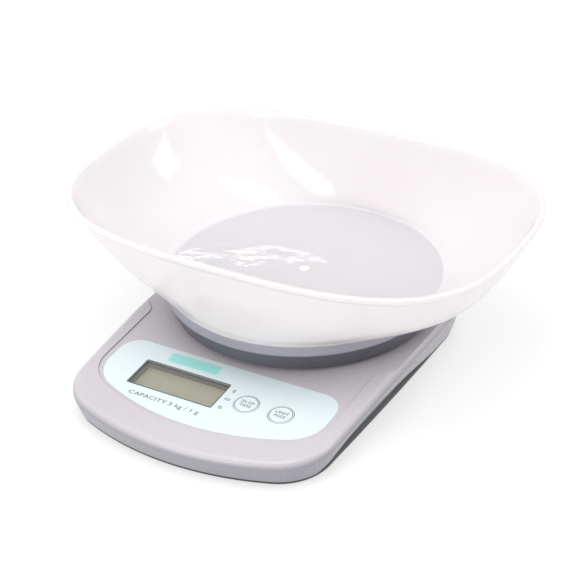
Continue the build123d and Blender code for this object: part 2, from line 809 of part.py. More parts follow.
def bowl_solid(base_z, inset):
    """Solid inside one skin of the bowl, lofted from the floor up to the rim."""
    spreads = [step / (BOWL_SECTIONS - 1) for step in range(BOWL_SECTIONS)]
    with BuildPart() as solid:
        loft([bowl_section(level(base_z + bowl_height(spread)), spread, inset) for spread in spreads])
    return solid.part


def make_bowl():
    """Thin bowl with a flat round floor, a smooth wall and a small lip."""
    with BuildPart() as bowl:
        add(bowl_solid(PLATFORM_TOP, 0.0))
        extrude(bowl_section(level(BOWL_TOP - BOWL_LIP_HEIGHT), 1.0, -BOWL_LIP), amount=BOWL_LIP_HEIGHT)
        add(bowl_solid(PLATFORM_TOP + BOWL_WALL, BOWL_WALL), mode=Mode.SUBTRACT)
    return bowl


# ---------------------------------------------------------------- all pieces
def save(piece, name):
    piece.part.label = name
    export_step(piece.part, f"parts/{name}.step")


save(make_upper_housing(), "upper_housing")
save(make_lower_housing(), "lower_housing")
save(make_label(), "panel_label")
save(make_display_window(), "display_window")
save(make_display_bezel(), "display_bezel")
save(make_display_glass(), "display_glass")
save(make_zebra_strip(), "zebra_strip")
save(make_main_board(), "main_board")
save(make_chip_coating(), "chip_coating")
save(make_board_screws(), "board_screws")
for key_name, key_x in KEY_X.items():
    save(make_switch(key_x), f"{key_name}_switch")
    save(make_actuator(key_x), f"{key_name}_actuator")
    save(make_plunger(key_x), f"{key_name}_plunger")
    save(make_key(key_x), f"{key_name}_key")
save(make_load_cell(), "load_cell")
save(make_gauge_potting(), "gauge_potting")
save(make_cell_plate(-19.5, PAD_TOP, CELL_LOW), "cell_base_plate")
save(make_cell_plate(19.5, CELL_TOP, BRACKET_LOW), "cell_top_plate")
save(make_screws([(x, 0) for x in CELL_BASE_HOLES], 2.6, 2.7, 1.7, 1.4, 12.0), "cell_base_screws")
save(make_screws([(x, 0) for x in CELL_FREE_HOLES], BRACKET_TOP, 2.7, 1.4, 1.4, 6.5), "cell_top_screws")
save(make_overload_stop(), "overload_stop")
save(make_platform_bracket(), "platform_bracket")
post_x = POST_SPACING[0] / 2
post_y = POST_SPACING[1] / 2
post_spots = [(-post_x, -post_y), (post_x, -post_y), (-post_x, post_y), (post_x, post_y)]
save(make_screws(post_spots, BRACKET_LOW, 2.4, 1.3, 1.25, 31.0), "platform_screws")
save(make_weighing_platform(), "weighing_platform")
save(make_screws(HOUSING_SCREWS, 3.2, 2.6, 1.6, 1.2, 10.6), "housing_screws")
save(make_rubber_feet(), "rubber_feet")
save(make_battery_door(), "battery_door")
save(make_battery(BATTERY_ROWS[0], False), "battery_front")
save(make_battery(BATTERY_ROWS[1], True), "battery_rear")
save(make_contact_plates(), "contact_plates")
save(make_contact_springs(), "contact_springs")
save(make_bowl(), "bowl")
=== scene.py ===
"""Electronic kitchen scale with a loose milky bowl: visual pieces, materials, light and camera.

Everything is in metres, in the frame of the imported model.
"""
import bpy
import bmesh
import json
import math
from mathutils import Matrix, Vector


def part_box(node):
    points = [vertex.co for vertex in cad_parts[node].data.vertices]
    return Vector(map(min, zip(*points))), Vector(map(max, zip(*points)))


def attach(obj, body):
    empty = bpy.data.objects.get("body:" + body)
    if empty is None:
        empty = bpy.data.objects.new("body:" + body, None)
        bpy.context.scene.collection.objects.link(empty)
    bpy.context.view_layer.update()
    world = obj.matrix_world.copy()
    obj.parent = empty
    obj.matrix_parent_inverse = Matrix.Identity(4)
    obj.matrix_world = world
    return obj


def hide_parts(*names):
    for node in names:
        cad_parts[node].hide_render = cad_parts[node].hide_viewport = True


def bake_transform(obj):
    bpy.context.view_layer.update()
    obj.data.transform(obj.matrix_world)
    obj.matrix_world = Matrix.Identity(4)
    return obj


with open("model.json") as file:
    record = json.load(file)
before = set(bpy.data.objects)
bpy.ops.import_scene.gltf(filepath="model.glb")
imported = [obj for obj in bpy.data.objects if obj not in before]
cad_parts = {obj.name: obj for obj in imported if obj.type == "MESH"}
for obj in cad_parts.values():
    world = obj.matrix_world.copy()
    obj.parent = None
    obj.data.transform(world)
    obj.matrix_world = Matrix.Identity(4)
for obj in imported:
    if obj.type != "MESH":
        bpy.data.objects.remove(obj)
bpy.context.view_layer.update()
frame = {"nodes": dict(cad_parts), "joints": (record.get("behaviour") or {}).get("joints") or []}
nodes = frame["nodes"]
MM = 0.001

# ---------------------------------------------------------------- places read from the frame
platform_low, platform_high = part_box("weighing_platform")
bowl_low, bowl_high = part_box("bowl")
AXIS = Vector(((platform_low.x + platform_high.x) / 2, (platform_low.y + platform_high.y) / 2, 0))
BAND_Z = platform_high.z - 5.5 * MM
# Top of the painted contact shade along the lower housing's foot.
BASE_EDGE_Z = 2.5 * MM

press = next(joint for joint in frame["joints"] if joint["name"] == "tare_press")
PANEL_UP = Vector(press["axis"]).normalized()
PANEL_RIGHT = Vector((1, 0, 0))
PANEL_BACK = PANEL_UP.cross(PANEL_RIGHT)
KEY_RISE = 0.1 * MM


def middle(node):
    """Middle of a node's box."""
    low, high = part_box(node)
    return (low + high) / 2


KEY_ROW = middle("tare_key") + PANEL_UP * KEY_RISE
DISPLAY = middle("display_window").x


def on_panel(x, back, rise=0.0):
    """Point over the control panel: x from the middle line, back from the key row, rise above the label."""
    start = KEY_ROW.copy()
    start.x = 0
    return start + PANEL_RIGHT * x + PANEL_BACK * back + PANEL_UP * rise


# ---------------------------------------------------------------- materials
NOISE_LOW = 0.3
NOISE_HIGH = 0.7


def new_material(name):
    """Material with its node tree and its shader."""
    material = bpy.data.materials.new(name)
    material.use_nodes = True
    return material, material.node_tree, material.node_tree.nodes["Principled BSDF"]


def object_noise(tree, scale, detail=3.0, roughness=0.5):
    """Noise in the object's own metres, so that its grain has a real size."""
    where = tree.nodes.new("ShaderNodeTexCoord")
    pattern = tree.nodes.new("ShaderNodeTexNoise")
    pattern.inputs["Scale"].default_value = scale
    pattern.inputs["Detail"].default_value = detail
    pattern.inputs["Roughness"].default_value = roughness
    tree.links.new(where.outputs["Object"], pattern.inputs["Vector"])
    return pattern.outputs["Fac"]


def spread(tree, value, low, high):
    """Maps a noise value to the range from low to high."""
    ranged = tree.nodes.new("ShaderNodeMapRange")
    ranged.inputs["From Min"].default_value = NOISE_LOW
    ranged.inputs["From Max"].default_value = NOISE_HIGH
    ranged.inputs["To Min"].default_value = low
    ranged.inputs["To Max"].default_value = high
    tree.links.new(value, ranged.inputs["Value"])
    return ranged.outputs["Result"]


def two_tone(tree, value, first, second):
    """Colour that goes from the first to the second over the usual range of a noise value."""
    ramp = tree.nodes.new("ShaderNodeValToRGB")
    ramp.color_ramp.elements[0].position = NOISE_LOW
    ramp.color_ramp.elements[1].position = NOISE_HIGH
    ramp.color_ramp.elements[0].color = (*first, 1)
    ramp.color_ramp.elements[1].color = (*second, 1)
    tree.links.new(value, ramp.inputs["Fac"])
    return ramp.outputs["Color"]


def bump(tree, value, depth):
    """Surface relief of the given depth in metres."""
    relief = tree.nodes.new("ShaderNodeBump")
    relief.inputs["Distance"].default_value = depth
    relief.inputs["Strength"].default_value = 1.0
    tree.links.new(value, relief.inputs["Height"])
    return relief.outputs["Normal"]


def darker(colour, share):
    """The colour with a share of its light taken away."""
    return tuple(part * (1 - share) for part in colour)


def metal(name, colour, rough, stretch=(1, 1, 1)):
    """Metal with fine streaks, drawn out along the axis whose stretch is small."""
    material, tree, shader = new_material(name)
    shader.inputs["Metallic"].default_value = 1.0
    where = tree.nodes.new("ShaderNodeTexCoord")
    mapping = tree.nodes.new("ShaderNodeMapping")
    mapping.inputs["Scale"].default_value = stretch
    streaks = tree.nodes.new("ShaderNodeTexNoise")
    streaks.inputs["Scale"].default_value = 900.0
    streaks.inputs["Detail"].default_value = 4.0
    tree.links.new(where.outputs["Object"], mapping.inputs["Vector"])
    tree.links.new(mapping.outputs["Vector"], streaks.inputs["Vector"])
    value = streaks.outputs["Fac"]
    tree.links.new(two_tone(tree, value, darker(colour, 0.15), colour), shader.inputs["Base Color"])
    tree.links.new(spread(tree, value, rough - 0.06, rough + 0.08), shader.inputs["Roughness"])
    tree.links.new(bump(tree, value, 0.000004), shader.inputs["Normal"])
    return material


def mixed(tree, share, first, second):
    """Blends two colour sockets by a 0 to 1 share."""
    blend = tree.nodes.new("ShaderNodeMix")
    blend.data_type = "RGBA"
    tree.links.new(share, blend.inputs["Factor"])
    tree.links.new(first, blend.inputs[6])
    tree.links.new(second, blend.inputs[7])
    return blend.outputs[2]


def ramp_between(tree, value, start, end):
    """Share that goes from 0 where the value is start to 1 where it is end."""
    ranged = tree.nodes.new("ShaderNodeMapRange")
    ranged.inputs["From Min"].default_value = start
    ranged.inputs["From Max"].default_value = end
    tree.links.new(value, ranged.inputs["Value"])
    return ranged.outputs["Result"]


def z_of(tree, vector):
    """Upward part of a vector socket."""
    parts = tree.nodes.new("ShaderNodeSeparateXYZ")
    tree.links.new(vector, parts.inputs["Vector"])
    return parts.outputs["Z"]


FLOW_SCALE = 35.0
SKIN_SCALE = 2200.0
SKIN_DEPTH = 0.01 * MM
ROUGH_SPREAD = 0.05
FLOW_SPREAD = 0.03


def flow_marks(tree):
    """Slow pattern left in a moulding by the flow of its plastic."""
    return object_noise(tree, FLOW_SCALE, 4.0, 0.6)


def spark_skin(tree, shader, rough, grain=SKIN_SCALE, depth=SKIN_DEPTH):
    """Fine spark-eroded skin: grain in the roughness and in the relief."""
    skin = object_noise(tree, grain, 2.0)
    tree.links.new(spread(tree, skin, rough - ROUGH_SPREAD, rough + ROUGH_SPREAD), shader.inputs["Roughness"])
    tree.links.new(bump(tree, skin, depth), shader.inputs["Normal"])


def moulded(name, colour, rough, grain=SKIN_SCALE, depth=SKIN_DEPTH, variation=FLOW_SPREAD):
    """Moulded plastic, film or rubber of one colour, with faint flow marks and a fine skin."""
    material, tree, shader = new_material(name)
    marked = two_tone(tree, flow_marks(tree), darker(colour, variation), colour)
    tree.links.new(marked, shader.inputs["Base Color"])
    spark_skin(tree, shader, rough, grain, depth)
    return material


def painted_shade_bands(name, shaded_low_colour, high_colour, top_colour, start, end, rough):
    """Moulding with painted shade: a dark tone below the band from start to end, its own tone above it, and a
    separate painted tone on its upward faces.
    """
    material, tree, shader = new_material(name)
    flow = flow_marks(tree)
    where = tree.nodes.new("ShaderNodeTexCoord").outputs["Object"]
    facing = tree.nodes.new("ShaderNodeNewGeometry").outputs["Normal"]
    tones = (shaded_low_colour, high_colour, top_colour)
    low, high, top = (two_tone(tree, flow, darker(tone, FLOW_SPREAD), tone) for tone in tones)
    # Painted shade: darker below the band from start to end.
    height_shaded_sides = mixed(tree, ramp_between(tree, z_of(tree, where), start, end), low, high)
    # Separate painted tone on faces that point straight up.
    colour = mixed(tree, ramp_between(tree, z_of(tree, facing), 0.9, 0.99), height_shaded_sides, top)
    tree.links.new(colour, shader.inputs["Base Color"])
    spark_skin(tree, shader, rough)
    return material


def shell_with_painted_side_shade(name, top_colour, shaded_side_colour, rough):
    """Moulded shell with painted shade: its side walls are darker than its upper faces, by the way each face
    points.
    """
    material, tree, shader = new_material(name)
    flow = flow_marks(tree)
    facing = tree.nodes.new("ShaderNodeNewGeometry").outputs["Normal"]
    tones = (shaded_side_colour, top_colour)
    side, top = (two_tone(tree, flow, darker(tone, FLOW_SPREAD), tone) for tone in tones)
    # Painted shade: faces turned away from straight up take the darker side tone.
    colour = mixed(tree, ramp_between(tree, z_of(tree, facing), 0.15, 0.85), side, top)
    tree.links.new(colour, shader.inputs["Base Color"])
    spark_skin(tree, shader, rough)
    return material


def milky_plastic():
    """Thin glossy translucent plastic, with a painted lilac tint over the floor, which lies on the lilac
    platform, standing in for the platform showing through.
    """
    material, tree, shader = new_material("milky_polypropylene")
    cloud = object_noise(tree, 18.0, 3.0)
    wave = object_noise(tree, 48.0, 3.5)
    where = tree.nodes.new("ShaderNodeTexCoord").outputs["Object"]
    # Painted see-through: the floor, which lies on the platform, takes the platform's lilac in its colour.
    painted_platform_tint_share = ramp_between(tree, z_of(tree, where), bowl_low.z + 3.0 * MM, bowl_low.z + 1.8 * MM)
    wall = two_tone(tree, cloud, (0.90, 0.86, 0.865), (0.92, 0.885, 0.89))
    floor = two_tone(tree, cloud, (0.96, 0.90, 0.96), (0.975, 0.92, 0.975))
    tree.links.new(mixed(tree, painted_platform_tint_share, wall, floor), shader.inputs["Base Color"])
    tree.links.new(spread(tree, wave, 0.02, 0.04), shader.inputs["Roughness"])
    tree.links.new(bump(tree, wave, 0.16 * MM), shader.inputs["Normal"])
    shader.inputs["IOR"].default_value = 1.49
    shader.inputs["Alpha"].default_value = 0.77
    shader.inputs["Subsurface Weight"].default_value = 0.4
    shader.inputs["Subsurface Radius"].default_value = (4.0 * MM, 3.6 * MM, 3.6 * MM)
    shader.inputs["Subsurface Scale"].default_value = 1.0
    return material


def lens_plastic():
    """Clear window over the display: a thin pane that shows what is under it and keeps a sharp gloss."""
    material, tree, shader = new_material("clear_window")
    smear = object_noise(tree, 120.0, 3.0)
    shader.inputs["Base Color"].default_value = (0.62, 0.62, 0.56, 1)
    tree.links.new(spread(tree, smear, 0.03, 0.07), shader.inputs["Roughness"])
    shader.inputs["Alpha"].default_value = 0.16
    return material


def display_glass_material():
    """Reflective liquid crystal cell: warm grey-green with a fine paper-like reflector behind it."""
    material, tree, shader = new_material("display_cell")
    reflector = object_noise(tree, 5000.0, 2.0)
    colour = two_tone(tree, reflector, (0.41, 0.39, 0.27), (0.45, 0.43, 0.31))
    tree.links.new(colour, shader.inputs["Base Color"])
    tree.links.new(spread(tree, reflector, 0.25, 0.35), shader.inputs["Roughness"])
    return material


def circuit_board_material():
    """Green solder mask over faint copper tracks."""
    material, tree, shader = new_material("solder_mask")
    where = tree.nodes.new("ShaderNodeTexCoord")
    tracks = tree.nodes.new("ShaderNodeTexBrick")
    tracks.inputs["Scale"].default_value = 160.0
    tracks.inputs["Mortar Size"].default_value = 0.06
    tracks.inputs["Color1"].default_value = (0.012, 0.13, 0.045, 1)
    tracks.inputs["Color2"].default_value = (0.016, 0.15, 0.055, 1)
    tracks.inputs["Mortar"].default_value = (0.03, 0.24, 0.09, 1)
    tree.links.new(where.outputs["Object"], tracks.inputs["Vector"])
    tree.links.new(tracks.outputs["Color"], shader.inputs["Base Color"])
    tree.links.new(bump(tree, tracks.outputs["Fac"], 0.00003), shader.inputs["Normal"])
    shader.inputs["Roughness"].default_value = 0.3
    return material


def cell_sleeve_material():
    """Printed battery sleeve: dark with a copper-coloured band towards the button end."""
    material, tree, shader = new_material("battery_sleeve")
    where = tree.nodes.new("ShaderNodeTexCoord")
    parts = tree.nodes.new("ShaderNodeSeparateXYZ")
    band = tree.nodes.new("ShaderNodeValToRGB")
    band.color_ramp.interpolation = "CONSTANT"
    band.color_ramp.elements[0].color = (0.012, 0.013, 0.016, 1)
    band.color_ramp.elements[1].color = (0.42, 0.20, 0.07, 1)
    band.color_ramp.elements[1].position = 0.72
    tree.links.new(where.outputs["Generated"], parts.inputs["Vector"])
    tree.links.new(parts.outputs["X"], band.inputs["Fac"])
    tree.links.new(band.outputs["Color"], shader.inputs["Base Color"])
    skin = object_noise(tree, 800.0, 2.0)
    tree.links.new(spread(tree, skin, 0.24, 0.34), shader.inputs["Roughness"])
    shader.inputs["Metallic"].default_value = 0.6
    return material


# Lilac housing: one lilac plastic, with painted shade on its side walls and lighter painted upper faces.
lilac = shell_with_painted_side_shade("lilac_abs_painted_side_shade", (0.61, 0.575, 0.615), (0.33, 0.32, 0.355), 0.28)
# Platform: the dark lower band is painted shade under its undercut, and the lighter lilac tone on upward
# faces is painted light.
blue_grey = painted_shade_bands(
    "platform_abs_painted_shade", (0.10, 0.098, 0.118), (0.36, 0.35, 0.41), (0.46, 0.42, 0.48),
    BAND_Z - 0.3 * MM, BAND_Z + 0.7 * MM, 0.36,
)
INK_GRAIN = 3500.0
INK_DEPTH = 0.000002
# Lower housing: the near-black band up to BASE_EDGE_Z is painted contact shade along its foot; its upward
# faces take a slightly darker tone.
base_grey = painted_shade_bands(
    "grey_abs_painted_foot_shade", (0.06, 0.06, 0.065), (0.30, 0.305, 0.31), (0.22, 0.225, 0.23),
    BASE_EDGE_Z - 0.3 * MM, BASE_EDGE_Z + 0.6 * MM, 0.5,
)
film = moulded("label_film_print", (0.76, 0.86, 0.88), 0.24, INK_GRAIN, 0.000004, 0.01)
bezel_black = moulded("bezel_matt", (0.045, 0.045, 0.045), 0.6)
strip_rubber = moulded("contact_strip_silicone", (0.10, 0.10, 0.105), 0.7)
resin = moulded("black_epoxy", (0.008, 0.008, 0.008), 0.18, 300.0, 0.00004)
switch_black = moulded("switch_body", (0.02, 0.02, 0.02), 0.45)
pusher_white = moulded("pusher_abs", (0.75, 0.75, 0.72), 0.4)
sealant = moulded("gauge_sealant", (0.85, 0.85, 0.82), 0.45, 250.0, 0.0001)
carrier_black = moulded("glass_filled_nylon", (0.025, 0.025, 0.028), 0.55, 900.0, 0.00004)
foot_rubber = moulded("foot_rubber_soft", (0.02, 0.02, 0.02), 0.75, 1200.0, 0.00003)
print_grey = moulded("print_grey", (0.10, 0.11, 0.125), 0.4, INK_GRAIN, INK_DEPTH)
print_dark = moulded("print_dark", (0.05, 0.055, 0.065), 0.4, INK_GRAIN, INK_DEPTH)
print_teal = moulded("print_teal", (0.38, 0.82, 0.78), 0.35, INK_GRAIN, INK_DEPTH, 0.02)
milky = milky_plastic()
thick_milky = moulded("thick_polypropylene", (0.99, 0.98, 0.985), 0.10, 300.0, 0.00006, 0.01)
lens = lens_plastic()
display_cell = display_glass_material()
solder_mask = circuit_board_material()
sleeve = cell_sleeve_material()
aluminium = metal("milled_aluminium", (0.78, 0.79, 0.80), 0.34, (0.08, 1, 1))
zinc = metal("zinc_steel", (0.62, 0.62, 0.64), 0.32)
pressed_steel = metal("pressed_steel", (0.52, 0.52, 0.54), 0.38, (1, 0.1, 1))
nickel = metal("nickel_wire", (0.72, 0.70, 0.65), 0.22)

NODE_MATERIALS = {
    "upper_housing": lilac,
    "lower_housing": base_grey,
    "panel_label": film,
    "display_window": lens,
    "display_bezel": bezel_black,
    "display_glass": display_cell,
    "zebra_strip": strip_rubber,
    "main_board": solder_mask,
    "chip_coating": resin,
    "board_screws": zinc,
    "tare_switch": switch_black,
    "unit_switch": switch_black,
    "tare_actuator": pusher_white,
    "unit_actuator": pusher_white,
    "tare_plunger": pusher_white,
    "unit_plunger": pusher_white,
    "tare_key": film,
    "unit_key": film,
    "load_cell": aluminium,
    "gauge_potting": sealant,
    "cell_base_plate": pressed_steel,
    "cell_top_plate": pressed_steel,
    "cell_base_screws": zinc,
    "cell_top_screws": zinc,
    "overload_stop": zinc,
    "platform_bracket": carrier_black,
    "platform_screws": zinc,
    "weighing_platform": blue_grey,
    "housing_screws": zinc,
    "rubber_feet": foot_rubber,
    "battery_door": base_grey,
    "battery_front": sleeve,
    "battery_rear": sleeve,
    "contact_plates": nickel,
    "contact_springs": nickel,
    "bowl": milky,
}
for name, material in NODE_MATERIALS.items():
    nodes[name].data.materials.clear()
    nodes[name].data.materials.append(material)


# ---------------------------------------------------------------- mesh helpers
def mesh_piece(name, points, faces, material, body, smooth=True):
    """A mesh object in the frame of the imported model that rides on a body."""
    mesh = bpy.data.meshes.new(name)
    mesh.from_pydata(points, [], faces)
    mesh.materials.append(material)
    mesh.polygons.foreach_set("use_smooth", [smooth] * len(mesh.polygons))
    mesh.update()
    piece = bpy.data.objects.new(name, mesh)
    bpy.context.scene.collection.objects.link(piece)
    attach(piece, body)
    return piece


def ringed(rings):
    """Points and faces of a skin over closed rings, in order. A ring of one point closes it with a fan."""
    count = max(len(ring) for ring in rings)
    points = []
    starts = []
    for ring in rings:
        starts.append(len(points))
        points.extend(ring)
    faces = []
    for index in range(len(rings) - 1):
        low, high = starts[index], starts[index + 1]
        for step in range(count):
            after = (step + 1) % count
            if len(rings[index]) == 1:
                faces.append((low, high + step, high + after))
            elif len(rings[index + 1]) == 1:
                faces.append((low + after, low + step, high))
            else:
                faces.append((low + step, high + step, high + after, low + after))
    return points, faces


def tube(rings):
    """Points and faces of a ring-shaped skin: equal closed rings, with the last one joined to the first."""
    count = len(rings[0])
    faces = []
    for index in range(len(rings)):
        low = index * count
        high = (index + 1) % len(rings) * count
        for step in range(count):
            after = (step + 1) % count
            faces.append((low + step, low + after, high + after, high + step))
    return [point for ring in rings for point in ring], faces


# ---------------------------------------------------------------- bowl
BOWL_FLOOR_R = 72.7 * MM
BOWL_RIM_A = 119.4 * MM
BOWL_RIM_B = 82.8 * MM
BOWL_RIM_POWER = 3.0
BOWL_LINEAR = 0.37
BOWL_STEEPEN = 4.0
BOWL_WIDEN = 2.3
BOWL_SQUARE = 3.0
NUB_R = 2.7 * MM
NUB_HEIGHT = 0.35 * MM
BOWL_WALL = 1.6 * MM
BOWL_LIP = 0.9 * MM
LIP_HEIGHT = 2.6 * MM
FLOOR_BLEND = 0.045
BOWL_SIDES = 288
WALL_RINGS = 56
FLOOR_RINGS = 30


def bowl_ring(share, grow, height):
    """Ring of the bowl's skin between its round floor (share 0) and its rim (share 1), grown outwards."""
    a = BOWL_FLOOR_R + (BOWL_RIM_A - BOWL_FLOOR_R) * share + grow
    b = BOWL_FLOOR_R + (BOWL_RIM_B - BOWL_FLOOR_R) * share**BOWL_WIDEN + grow
    power = 2 + (BOWL_RIM_POWER - 2) * share**BOWL_SQUARE
    ring = []
    for step in range(BOWL_SIDES):
        angle = 2 * math.pi * step / BOWL_SIDES
        c = abs(math.cos(angle)) / a
        s = abs(math.sin(angle)) / b
        radius = (c**power + s**power) ** (-1 / power)
        ring.append((AXIS.x + radius * math.cos(angle), AXIS.y + radius * math.sin(angle), height))
    return ring


def bowl_rise(share):
    """Height of a skin above its floor: shallow at first, then steeper, with a soft start."""
    start = math.sqrt(share**2 + FLOOR_BLEND**2) - FLOOR_BLEND
    return (bowl_high.z - bowl_low.z) * (BOWL_LINEAR * start + (1 - BOWL_LINEAR) * share**BOWL_STEEPEN)


def make_bowl():
    """Bowl from one closed profile: under the floor, up the outside, over the lip and down the inside."""
    top = bowl_high.z
    inside = bowl_low.z + BOWL_WALL
    rings = [[(AXIS.x, AXIS.y, bowl_low.z)]]
    for share in (0.25, 0.5, 0.75, 0.92):
        rings.append(bowl_ring(0, -BOWL_FLOOR_R * (1 - share), bowl_low.z))
    for step in range(WALL_RINGS + 1):
        share = step / WALL_RINGS
        height = bowl_low.z + bowl_rise(share)
        if height < top - LIP_HEIGHT:
            rings.append(bowl_ring(share, 0, height))
    lip_profile = [
        (0.0, -LIP_HEIGHT - 0.25 * MM),
        (0.12 * MM, -LIP_HEIGHT - 0.05 * MM),
        (0.45 * MM, -LIP_HEIGHT + 0.02 * MM),
        (0.8 * MM, -LIP_HEIGHT + 0.15 * MM),
        (BOWL_LIP, -LIP_HEIGHT + 0.45 * MM),
        (BOWL_LIP, -0.55 * MM),
        (0.75 * MM, -0.2 * MM),
        (0.4 * MM, -0.02 * MM),
        (0.0, 0.0),
        (-BOWL_WALL + 0.5 * MM, 0.0),
        (-BOWL_WALL + 0.15 * MM, -0.06 * MM),
        (-BOWL_WALL, -0.3 * MM),
    ]
    for grow, drop in lip_profile:
        rings.append(bowl_ring(1.0, grow, top + drop))
    for step in range(WALL_RINGS, -1, -1):
        share = step / WALL_RINGS
        height = inside + bowl_rise(share)
        if height < top - 0.8 * MM:
            rings.append(bowl_ring(share, -BOWL_WALL, height))
    for step in range(FLOOR_RINGS - 1, 0, -1):
        rings.append(bowl_ring(0, (BOWL_FLOOR_R - BOWL_WALL) * step / FLOOR_RINGS - BOWL_FLOOR_R, inside))
    rings.append([(AXIS.x, AXIS.y, inside)])
    points, faces = ringed(rings)
    bowl = mesh_piece("mixing_bowl", points, faces, milky, "bowl")
    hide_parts("bowl")


def make_gate_mark():
    """Low whitish dome in the middle of the bowl's floor, where the plastic was injected."""
    base = bowl_low.z + BOWL_WALL
    rings = []
    for share, lift in ((1.0, -0.1), (1.0, 0.15), (0.9, 0.45), (0.7, 0.8), (0.4, 0.97)):
        rings.append(bowl_ring(0, NUB_R * share - BOWL_FLOOR_R, base + NUB_HEIGHT * lift))
    rings.append([(AXIS.x, AXIS.y, base + NUB_HEIGHT)])
    points, faces = ringed(rings)
    mesh_piece("gate_mark", points, faces, thick_milky, "bowl")


make_bowl()
make_gate_mark()


# ---------------------------------------------------------------- load cell
BEAM_CUTS = 28


def bending_copy(node):
    """Copy of a piece of the load cell, cut across into even slices along its length; the original is hidden.
    """
    low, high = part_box(node)
    mesh = nodes[node].data.copy()
    mesh.transform(nodes[node].matrix_world)
    beam = bmesh.new()
    beam.from_mesh(mesh)
    for cut in range(1, BEAM_CUTS):
        place = (low.x + (high.x - low.x) * cut / BEAM_CUTS, 0, 0)
        parts = beam.verts[:] + beam.edges[:] + beam.faces[:]
        bmesh.ops.bisect_plane(beam, geom=parts, plane_co=place, plane_no=(1, 0, 0))
    beam.to_mesh(mesh)
    beam.free()
    piece = bpy.data.objects.new(f"bending_{node}", mesh)
    bpy.context.scene.collection.objects.link(piece)
    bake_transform(piece)
    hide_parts(node)


bending_copy("load_cell")
bending_copy("gauge_potting")


# ---------------------------------------------------------------- print on the panel
PRINT_THICK = 0.03 * MM
RING_SIDES = 96
FRAME_CORNER_R = 0.8 * MM
FRAME_INSET = 0.9 * MM
FRAME_DEPTH = 19.5 * MM
FRAME_LINE = 0.5 * MM
BAR_WIDTH = 29.1 * MM
BAR_DEPTH = 6.6 * MM
BAR_CORNER_R = 0.4 * MM
UNIT_PITCH = 7.0 * MM
RING_INNER_R = 5.55 * MM
RING_OUTER_R = 5.85 * MM
LEGEND_PITCH = 2.6 * MM


def plate_on_panel(name, outline, material, body, x, back):
    """Thin printed area: outline points in metres about (x, back)."""
    low = [on_panel(x + px, back + py) for px, py in outline]
    high = [on_panel(x + px, back + py, PRINT_THICK) for px, py in outline]
    count = len(outline)
    faces = [tuple(reversed(range(count))), tuple(range(count, 2 * count))]
    for step in range(count):
        after = (step + 1) % count
        faces.append((step, after, count + after, count + step))
    return mesh_piece(name, low + high, faces, material, body, smooth=False)


def ring_on_panel(name, inner, outer, material, body, x, rise):
    """Thin printed ring in the row of keys."""
    rings = []
    for radius, lift in ((inner, 0), (outer, 0), (outer, PRINT_THICK), (inner, PRINT_THICK)):
        ring = []
        for step in range(RING_SIDES):
            angle = 2 * math.pi * step / RING_SIDES
            ring.append(on_panel(x + radius * math.cos(angle), radius * math.sin(angle), rise + lift))
        rings.append(ring)
    points, faces = tube(rings)
    return mesh_piece(name, points, faces, material, body, smooth=False)


def words_on_panel(name, words, height, material, body, x, back, rise=0.0, width=None):
    """Thin printed letters, centred on (x, back)."""
    curve = bpy.data.curves.new(name, "FONT")
    curve.body = words
    curve.size = height
    curve.align_x = "CENTER"
    curve.align_y = "CENTER"
    curve.extrude = PRINT_THICK / 2
    curve.resolution_u = 3
    written = bpy.data.objects.new(name, curve)
    bpy.context.scene.collection.objects.link(written)
    bpy.context.view_layer.update()
    mesh = bpy.data.meshes.new_from_object(written)
    bpy.data.objects.remove(written)
    if width:
        across = [vertex.co.x for vertex in mesh.vertices]
        mesh.transform(Matrix.Scale(width / (max(across) - min(across)), 4, Vector((1, 0, 0))))
    turn = Matrix((PANEL_RIGHT, PANEL_BACK, PANEL_UP)).transposed().to_4x4()
    mesh.transform(Matrix.Translation(on_panel(x, back, rise + PRINT_THICK / 2)) @ turn)
    mesh.materials.clear()
    mesh.materials.append(material)
    piece = bpy.data.objects.new(name, mesh)
    bpy.context.scene.collection.objects.link(piece)
    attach(piece, body)
    return piece


def rounded_box(width, depth, radius, steps=6):
    """Outline of a rectangle with round corners, about its middle."""
    outline = []
    for cx, cy, start in ((1, 1, 0), (-1, 1, 90), (-1, -1, 180), (1, -1, 270)):
        for step in range(steps + 1):
            angle = math.radians(start + 90 * step / steps)
            outline.append((
                cx * (width / 2 - radius) + radius * math.cos(angle),
                cy * (depth / 2 - radius) + radius * math.sin(angle),
            ))
    return outline


def frame_on_panel(name, width, depth, border, material, body, x):
    """Thin printed line around a rounded rectangle in the row of keys."""
    rings = []
    for grow, lift in ((-border, 0), (0, 0), (0, PRINT_THICK), (-border, PRINT_THICK)):
        outline = rounded_box(width + 2 * grow, depth + 2 * grow, FRAME_CORNER_R + grow)
        rings.append([on_panel(x + px, py, lift) for px, py in outline])
    points, faces = tube(rings)
    return mesh_piece(name, points, faces, material, body, smooth=False)


